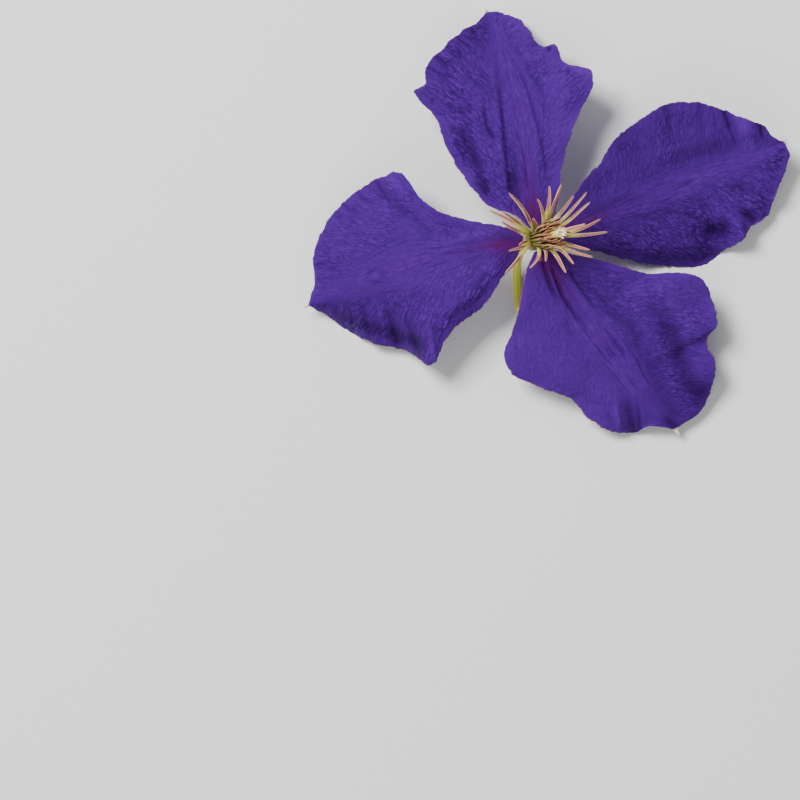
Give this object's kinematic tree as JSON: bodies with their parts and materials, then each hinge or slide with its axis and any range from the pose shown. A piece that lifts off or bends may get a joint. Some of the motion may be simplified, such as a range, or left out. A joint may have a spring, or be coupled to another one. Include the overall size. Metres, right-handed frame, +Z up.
{
  "type": "clematis bloom",
  "caption": "Large violet clematis bloom with broad waved tepals and a leaning crown of stamens, cut on a short bent stalk and lying face up.",
  "frame": {"origin": "on the surface that the bloom lies on, under the middle of its outline seen from above", "axes": "+Z up, out of the flower's face; +X along the widest spread, towards the right tepal's tip; +Y towards the top tepal"},
  "size_m": [0.117, 0.1034, 0.0299],
  "materials": {
    "tepal": "satin petal, violet-blue, a red-purple bar at the base",
    "stamen": "matt, pale yellow-green filaments and tan anthers",
    "pistil": "matt, cream styles",
    "stalk": "satin, yellow-green"
  },
  "bodies": {
    "root": {"stalk": "stalk", "tepal_top": "tepal", "tepal_right": "tepal", "tepal_lower": "tepal", "tepal_left": "tepal", "stamens": "stamen", "pistil": "pistil"}
  },
  "joints": []
}
